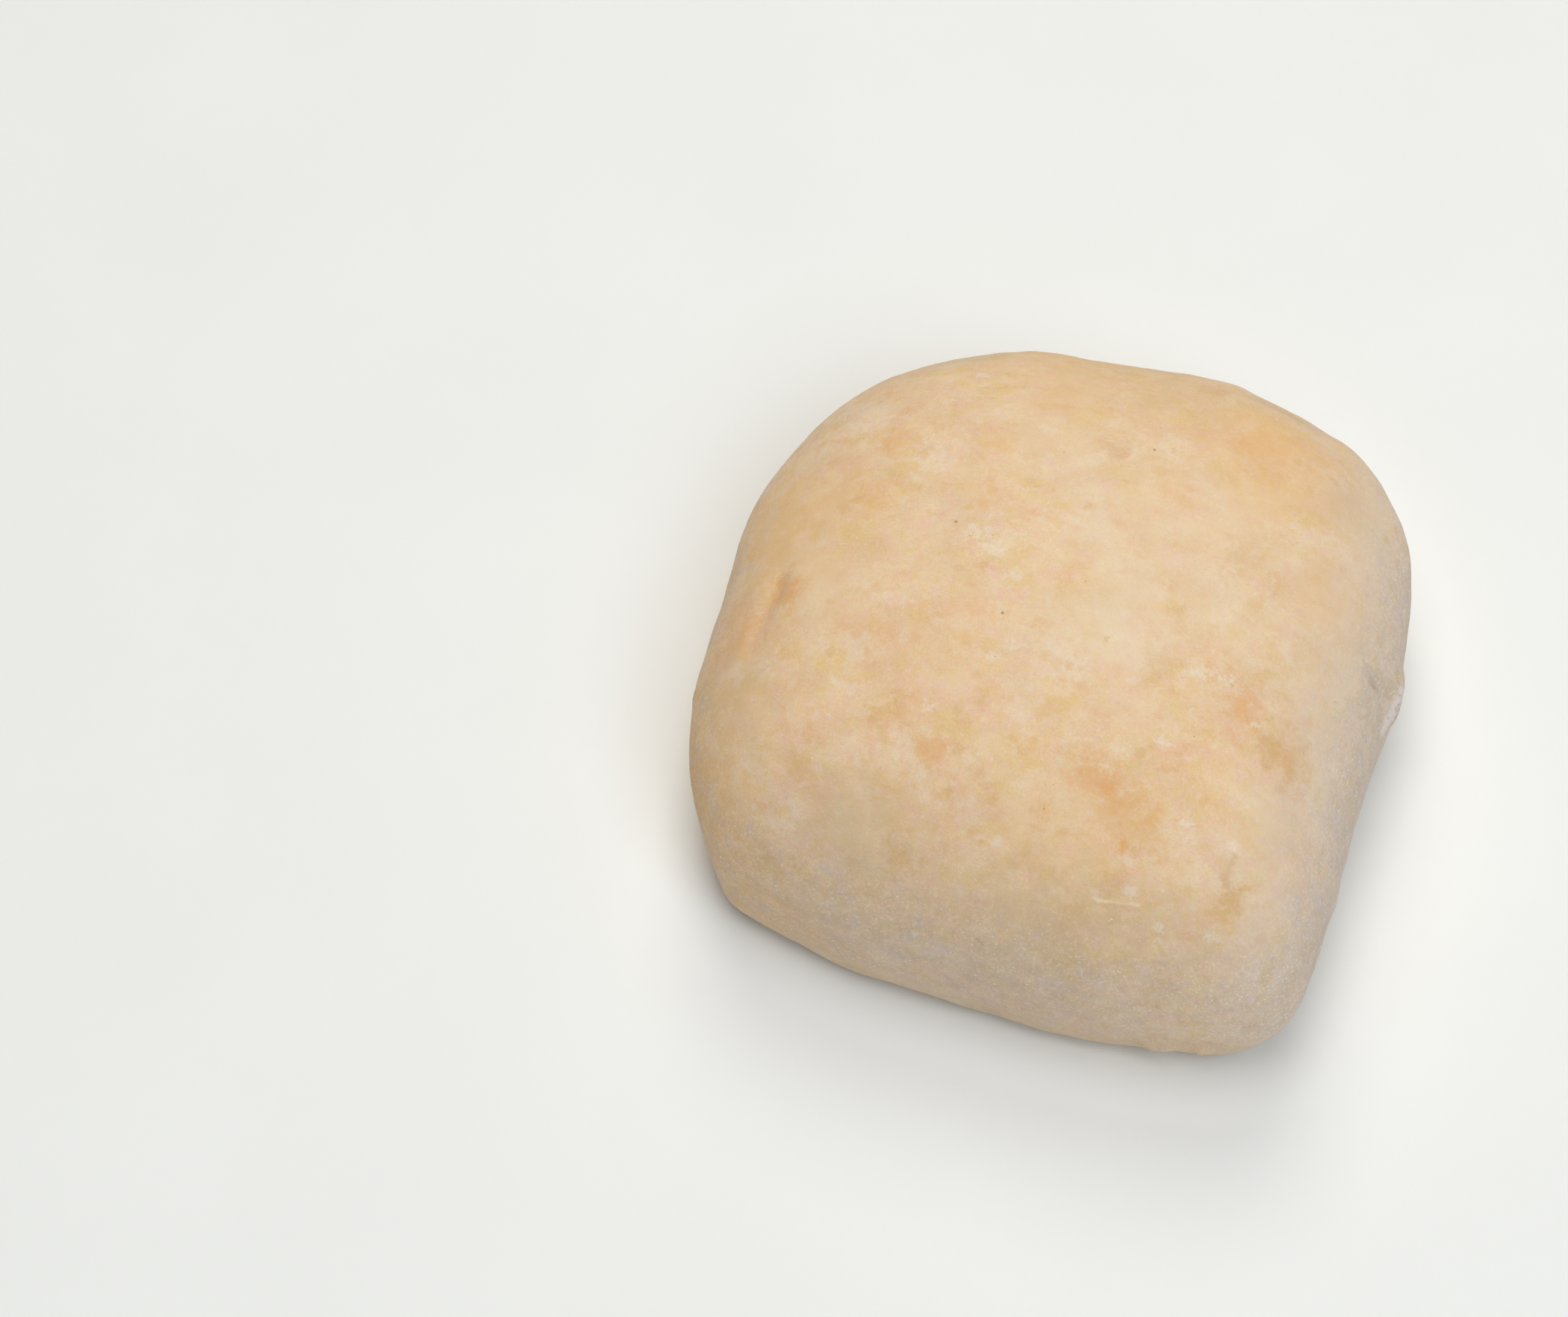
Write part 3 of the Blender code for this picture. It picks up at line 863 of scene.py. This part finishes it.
print("grain spacing in mm:", GRAIN_DOTS[0])

# %% [markdown]
# ## Hairlines
# Some marks are thinner than a face of the mesh: the crease of the fold, the
# edge of the blister, and the wrinkles round the pinch and along the front.
# They could be carved into a finer mesh, but a dark line drawn in the material
# is enough: it is painted shade, and its tone is all that the eye sees of it.

# %% Draw the creases and wrinkles
# The dark tones of the creases and wrinkles are painted shade
CREASE_SHADE_TONE = tone(190, 140, 94)
WRINKLE_SHADE_TONE = tone(172, 138, 108)
# Points in mm, half width in mm and strength
CREASE_SHADE_LINES = (
    (((-37.6, -6.7, 39.3), (-37.6, -9.9, 39.0), (-38.2, -12.0, 38.5)), 2.0, 0.24),
    (((-38.2, -12.0, 38.5), (-38.7, -14.0, 38.1), (-38.9, -17.8, 37.5)), 1.6, 0.10),
    (((35.3, -33.4, 37.8), (35.0, -34.8, 37.6), (34.7, -36.1, 37.1), (35.4, -37.2, 36.4)), 1.0, 0.26),
)
WRINKLE_SHADE_LINES = (
    (((46.2, 3.5, 29.5), (47.0, 4.5, 27.2), (47.6, 4.9, 26.0)), 0.6, 0.35),
    (((46.6, 0.4, 29.6), (48.3, -0.4, 25.4)), 0.5, 0.25),
    (((2.6, -49.3, 26.5), (3.8, -49.5, 26.0)), 0.4, 0.45),
    (((-16.8, -49.0, 13.8), (-15.8, -49.2, 13.2)), 0.4, 0.45),
)


def draw_lines(rows):
    """One mask of several lines."""
    drawn = 0.0
    for points, half_width, strength in rows:
        line = skin.calc("MULTIPLY", skin.stroke(points, half_width, jittered), strength)
        drawn = skin.calc("MAXIMUM", drawn, line)
    return drawn


color = skin.mix(draw_lines(CREASE_SHADE_LINES), color, CREASE_SHADE_TONE)
color = skin.mix(draw_lines(WRINKLE_SHADE_LINES), color, WRINKLE_SHADE_TONE)
print("creases and wrinkles:", len(CREASE_SHADE_LINES) + len(WRINKLE_SHADE_LINES))

# %% [markdown]
# ## The split and the floury pinch
# The lip of the hairline split caught flour and throws a faint shade beside
# it.  More flour filled the pinch, as one white streak.  Both are lines too.
# The grooves that are in the mesh take a little of the wrinkles' tone, as painted shade.

# %% Draw the lip of the split and the streak of flour
SPLIT_LIP = ((17.9, -43.0, 34.7), (19.5, -42.9, 34.7), (21.2, -42.8, 34.7), (24.0, -42.3, 34.8))
LIP_HALF_WIDTH = 0.38
LIP_SHARE = 0.36
# The shade is twice as wide as the lip, and lies this far beside it, in mm
SHADE_HALF_WIDTH = LIP_HALF_WIDTH * 2.0
SHADE_OFFSET = (0.0, 0.55, 0.40)
SHADE_SHARE = 0.18
FLOUR_STREAK = ((50.7, 8.4, 20.6), (50.2, 5.9, 20.8), (49.8, 4.1, 20.3), (49.4, 2.5, 19.3))
STREAK_HALF_WIDTH = 2.0
STREAK_SHARE = 0.80
STREAK_TONE = tone(248, 238, 236)
# Painted shade in the grooves of the mesh
GROOVE_SHADE_SHARE = 0.25
# How much of the jitter the lip keeps
UNSTEADY = 0.50

steady = skin.vector("SCALE", skin.place, scale=1.0 - UNSTEADY)
steady = skin.vector("ADD", steady, skin.vector("SCALE", jittered, scale=UNSTEADY))
shade = skin.stroke(SPLIT_LIP, SHADE_HALF_WIDTH, skin.vector("ADD", steady, SHADE_OFFSET))
lip = skin.stroke(SPLIT_LIP, LIP_HALF_WIDTH, steady)
streak = skin.stroke(FLOUR_STREAK, STREAK_HALF_WIDTH, jittered)
color = skin.mix(skin.calc("MULTIPLY", shade, SHADE_SHARE), color, CREASE_SHADE_TONE)
color = skin.mix(skin.calc("MULTIPLY", lip, LIP_SHARE), color, GRAIN)
color = skin.mix(skin.calc("MULTIPLY", streak, STREAK_SHARE), color, STREAK_TONE)
groove_shade = skin.calc("MULTIPLY", skin.attribute("groove"), GROOVE_SHADE_SHARE)
color = skin.mix(groove_shade, color, WRINKLE_SHADE_TONE)
print("points of the lip and the streak:", len(SPLIT_LIP) + len(FLOUR_STREAK))

# %% [markdown]
# ## The underside
# The base dried on a floured tray.  It is a little darker and smoother than
# the top, with patches of flour, and darker dots in its pores as painted shade.
# Nobody sees it while the roll stands, but the roll can be turned over, so it
# is finished as well.

# %% Finish the underside
BASE_TAN = tone(222, 190, 148)
# The pores are darker dots: painted shade
PORE_SHADE = tone(190, 154, 112)
FLOURED = (7.0, 4.0, 0.75, 200.0, 0.30, 0.75, 0.10, 0.75)
PORE_DOTS = (2.2, 0.3, 0.8, 0.7)
PORE_SHADE_SHARE = 0.5
PORE_SHIFT = 210.0
# How far the skin faces down where the underside's finish begins and is full
BENEATH_SLOPE = (0.75, 0.98)

base_color = skin.mix(skin.clouds(*FLOURED), BASE_TAN, SMUDGE)
pore_shade = skin.dots(*PORE_DOTS, skin.shifted(PORE_SHIFT))
base_color = skin.mix(skin.calc("MULTIPLY", pore_shade, PORE_SHADE_SHARE), base_color, PORE_SHADE)
beneath = skin.ramp(skin.attribute("downwards"), *BENEATH_SLOPE)
color = skin.mix(beneath, color, base_color)
print("pore spacing in mm:", PORE_DOTS[0])

# %% [markdown]
# ## Powdery surface
# Flour scatters light, so nothing on the roll shines.  The roughness stays
# high and dips a little where the skin is bare.  A bump map adds the grain of
# the flour, which is too fine for the mesh.  A trace of subsurface light lets
# the thin rim glow, and a trace of sheen lightens the edges, as powder does.

# %% Set the surface of the crust
POWDER = (2.0, 3.0, 0.6, 0.0, 0.3, 0.7, 0.84, 0.94)
# The roughness changes by this where the crust is toasted bare
BARE_DIP = -0.12
COARSE_SIZE = 1.3
# Heights of the bump map in mm: of the coarse unevenness, of the grit, and of
# the grains on the top and on the sides
COARSE_RELIEF = 0.10
FINE_RELIEF = 0.05
GRAIN_RELIEFS = (0.005, 0.04)
BUMP_STRENGTH = 0.8

bare = skin.calc("MULTIPLY", toasted_and_warm_light, BARE_DIP)
skin.surface({
    "Base Color": color,
    "Roughness": skin.calc("ADD", skin.clouds(*POWDER), bare),
    "Subsurface Weight": 0.12,
    "Subsurface Radius": (1.0, 0.55, 0.3),
    "Subsurface Scale": 2.0 * MM,
    "Specular IOR Level": 0.25,
    "Sheen Weight": 0.08,
    "Sheen Roughness": 0.6,
})
coarse = skin.calc("MULTIPLY", skin.noise(COARSE_SIZE, 3.0, CLOUD_ROUGHNESS), COARSE_RELIEF)
fine = skin.calc("MULTIPLY", grit, FINE_RELIEF)
raised = skin.calc("MULTIPLY", grain_dots, skin.ramp(sideways, *GRAIN_SLOPE, *GRAIN_RELIEFS))
skin.bump(skin.calc("ADD", skin.calc("ADD", coarse, fine), raised), BUMP_STRENGTH)
crust.data.materials.append(skin.material)
print("nodes in the crust:", len(skin.tree.nodes))

# %% [markdown]
# ## Clots of flour
# Here and there flour has clotted into tiny lumps that stand up from the skin,
# most of all in the pinch on the right.  One lump is modelled by hand: a small
# ball of faces, cut flat below and squashed.

# %% Model one lump
# Its radius is 1, it is cut at this height, and it is squashed by these shares
LUMP_CUT = -0.1
LUMP_DEPTH = 0.8
LUMP_FLATNESS = 0.3

bpy.ops.object.select_all(action="DESELECT")
bpy.ops.mesh.primitive_ico_sphere_add(subdivisions=2, radius=1.0, location=(0.0, 0.0, 0.0))
lump = bpy.context.active_object
bpy.ops.object.mode_set(mode="EDIT")
bpy.ops.mesh.select_all(action="SELECT")
bpy.ops.mesh.bisect(
    plane_co=(0.0, 0.0, LUMP_CUT), plane_no=(0.0, 0.0, 1.0), use_fill=True, clear_inner=True,
)
bpy.ops.mesh.select_all(action="SELECT")
bpy.ops.transform.resize(value=(1.0, LUMP_DEPTH, LUMP_FLATNESS))
bpy.ops.object.mode_set(mode="OBJECT")
print("faces in one lump:", len(lump.data.polygons))

# %% [markdown]
# ## Scattered lumps
# The other lumps are copies, each with its own mesh, turned to the skin and
# sunk a little.  A particle system could scatter them, but a loop that draws
# its own random numbers gives the same roll each time.  Some gather in clots,
# and loose grains lie all over, mostly on the sides.  They are joined as one
# piece at the end.

# %% Scatter the copies over the skin
LUMP_SEED = 11
# How far a lump sinks into the skin, and how much its points stray
LUMP_SINK = 0.25
LUMP_STRAY = (0.8, 1.2)
# Where lumps gather: middle in mm, spread in mm, how many, smallest and largest radius in mm
CLOTS = (
    ((50.2, 5.4, 20.4), 2.2, 22, 0.12, 0.36),
    ((49.4, 8.4, 23.4), 1.8, 14, 0.10, 0.28),
    ((28.1, -8.9, 43.0), 0.8, 6, 0.12, 0.26),
    ((-8.8, 1.3, 48.2), 2.4, 6, 0.10, 0.22),
    ((-3.0, -14.5, 46.4), 1.4, 4, 0.10, 0.20),
    ((23.0, -43.6, 34.0), 4.4, 14, 0.10, 0.20),
)
LOOSE_GRAINS = 520
LOOSE_RADII = (0.08, 0.18)
# Loose grains keep off skin that turns further down than this, and off the lowest edge
LOOSE_NORMAL = -0.2
LOOSE_HEIGHT = 2.0 * MM
# A level place on the top keeps this share of the grains that a side has
TOP_SHARE = 0.06

draw = random.Random(LUMP_SEED)


def place_lump(spot, radius):
    """Copy the lump to the nearest place on the skin, turned at random."""
    nearest, normal = crust.closest_point_on_mesh(spot)[1:3]
    copy = bpy.data.objects.new("grain", lump.data.copy())
    bpy.context.scene.collection.objects.link(copy)
    spin = Quaternion((0.0, 0.0, 1.0), draw.uniform(0.0, math.tau))
    up = normal.to_track_quat("Z", "Y")
    sink = normal * radius * LUMP_SINK * LUMP_FLATNESS
    for vert in copy.data.vertices:
        ragged_size = radius * draw.uniform(*LUMP_STRAY)
        vert.co = nearest + up @ spin @ (vert.co * ragged_size) - sink
    return copy


places, normals = read_points(crust)
lumps = []
for middle, spread, count, smallest, largest in CLOTS:
    for number in range(count):
        offset = Vector([draw.gauss(0.0, spread / 2.0) for axis in range(3)])
        radius = smallest + (largest - smallest) * draw.random() ** 2
        lumps.append(place_lump((Vector(middle) + offset) * MM, radius * MM))
floury = np.flatnonzero((normals[:, 2] > LOOSE_NORMAL) & (places[:, 2] > LOOSE_HEIGHT))
wanted = len(lumps) + LOOSE_GRAINS
while len(lumps) < wanted:
    index = floury[draw.randrange(len(floury))]
    if draw.random() < TOP_SHARE + (1.0 - TOP_SHARE) * (1.0 - normals[index][2]):
        lumps.append(place_lump(Vector(places[index]), draw.uniform(*LOOSE_RADII) * MM))
bpy.ops.object.select_all(action="DESELECT")
for piece in lumps:
    piece.select_set(True)
bpy.context.view_layer.objects.active = lumps[0]
bpy.ops.object.join()
flour = bpy.context.active_object
flour.name = "flour_grains"
bpy.ops.object.shade_smooth()
bpy.data.objects.remove(lump)
print("lumps:", len(lumps), "faces:", len(flour.data.polygons))

# %% [markdown]
# ## The flour's finish
# Flour is off-white and quite matte.  Each lump differs a little, because some
# have soaked up moisture from the dough.  Noise on the coordinates is enough.

# %% Give the flour its material
DRY_FLOUR = tone(240, 226, 210)
DAMP_FLOUR = tone(236, 214, 188)
DAMP = (1.5, 2.0, 0.5, 0.0, 0.35, 0.65, 0.0, 1.0)
MATTE = (0.6, 2.0, 0.5, 0.0, 0.3, 0.7, 0.88, 0.98)
# Size and height in mm of the flour's own grain
FLOUR_GRIT_SIZE = 0.12
FLOUR_RELIEF = 0.04
FLOUR_BUMP_STRENGTH = 0.5

powdery = Graph("flour")
powdery.surface({
    "Base Color": powdery.mix(powdery.clouds(*DAMP), DRY_FLOUR, DAMP_FLOUR),
    "Roughness": powdery.clouds(*MATTE),
    "Specular IOR Level": 0.2,
})
flour_relief = powdery.calc("MULTIPLY", powdery.noise(FLOUR_GRIT_SIZE), FLOUR_RELIEF)
powdery.bump(flour_relief, FLOUR_BUMP_STRENGTH)
flour.data.materials.clear()
flour.data.materials.append(powdery.material)
print("nodes in the flour:", len(powdery.tree.nodes))

# %% [markdown]
# ## Fix the pieces to the part
# The skin stands for the solid, which keeps its place in the physics model but
# isn't shown.  Both pieces move with the part's one body.

# %% Ride on the body
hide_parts("bread_roll")
for piece in (crust, flour):
    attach(piece, "root")
print("pieces:", crust.name, flour.name)

# %% [markdown]
# ## A pale floor
# The floor is plain and pale.  A bare plane would end at a dark horizon, so
# the floor is one large round sheet whose rim turns up into a low wall, as the
# paper sweep in a studio does.  A circle is filled, its rim is extruded out
# and up, and a subdivision surface rounds the bend.

# %% Make the floor
FLOOR_SIDES = 48
FLOOR_RADIUS = 2.4
WALL_RADIUS = 3.2
WALL_HEIGHT = 2.6
FLOOR_LEVELS = 3
FLOOR_COLOR = (0.94, 0.94, 0.94, 1.0)
SPECKLE = (40.0, 3.0, 0.5, 0.0, 0.3, 0.7, 0.985, 1.0)

bpy.ops.object.select_all(action="DESELECT")
bpy.ops.mesh.primitive_circle_add(vertices=FLOOR_SIDES, radius=FLOOR_RADIUS, fill_type="NGON")
floor = bpy.context.active_object
floor.name = "floor"
bpy.ops.object.mode_set(mode="EDIT")
bpy.ops.mesh.select_mode(type="EDGE")
bpy.ops.mesh.select_all(action="SELECT")
bpy.ops.mesh.region_to_loop()
bpy.ops.mesh.extrude_edges_move()
bpy.ops.transform.resize(value=(WALL_RADIUS / FLOOR_RADIUS, WALL_RADIUS / FLOOR_RADIUS, 1.0))
bpy.ops.mesh.extrude_edges_move(TRANSFORM_OT_translate={"value": (0.0, 0.0, WALL_HEIGHT)})
bpy.ops.mesh.select_all(action="SELECT")
bpy.ops.mesh.normals_make_consistent(inside=True)
bpy.ops.object.mode_set(mode="OBJECT")
finish_modifier(floor, "SUBSURF", levels=FLOOR_LEVELS, render_levels=FLOOR_LEVELS)
bpy.ops.object.shade_smooth()
ground = Graph("floor")
speckled = ground.mix(1.0, FLOOR_COLOR, ground.clouds(*SPECKLE), "MULTIPLY")
ground.surface({"Base Color": speckled, "Roughness": 0.9})
floor.data.materials.append(ground.material)
print("floor faces:", len(floor.data.polygons))

# %% [markdown]
# ## Soft light
# Hard light would show every bump, and the roll should look soft.  Three round
# softboxes stand a metre and a half away: a cool one in front on the right, a
# warm one behind, and one overhead.  Their shadows overlap and fade, and the
# front and left sides stay in gentle shade.

# %% Set the lights
LIGHT_DISTANCE = 1.5
LIGHT_WIDTH = 0.9
WORLD_STRENGTH = 0.02
# Name, azimuth and elevation in degrees, watts and colour
LIGHTS = (
    ("overhead", 0.0, 88.0, 7.95, (1.03, 1.0, 0.945)),
    ("front right", 45.0, 55.0, 7.95, (0.89, 0.99, 1.06)),
    ("behind", 195.0, 55.0, 7.8, (1.03, 1.0, 0.885)),
)

for name, azimuth, elevation, watts, light_color in LIGHTS:
    lamp_data = bpy.data.lights.new(name, "AREA")
    lamp_data.shape = "DISK"
    lamp_data.size = LIGHT_WIDTH
    lamp_data.energy = watts
    lamp_data.color = light_color
    lamp = bpy.data.objects.new(name, lamp_data)
    bpy.context.scene.collection.objects.link(lamp)
    lamp.location = direction(azimuth, elevation) * LIGHT_DISTANCE
    lamp.rotation_mode = "QUATERNION"
    lamp.rotation_quaternion = (-lamp.location).to_track_quat("-Z", "Y")

world = bpy.data.worlds.new("studio")
bpy.context.scene.world = world
world.use_nodes = True
background = world.node_tree.nodes["Background"]
background.inputs["Color"].default_value = (1.0, 1.0, 1.0, 1.0)
background.inputs["Strength"].default_value = WORLD_STRENGTH
bpy.context.scene.view_settings.view_transform = "Standard"
print("lights:", len(LIGHTS))

# %% [markdown]
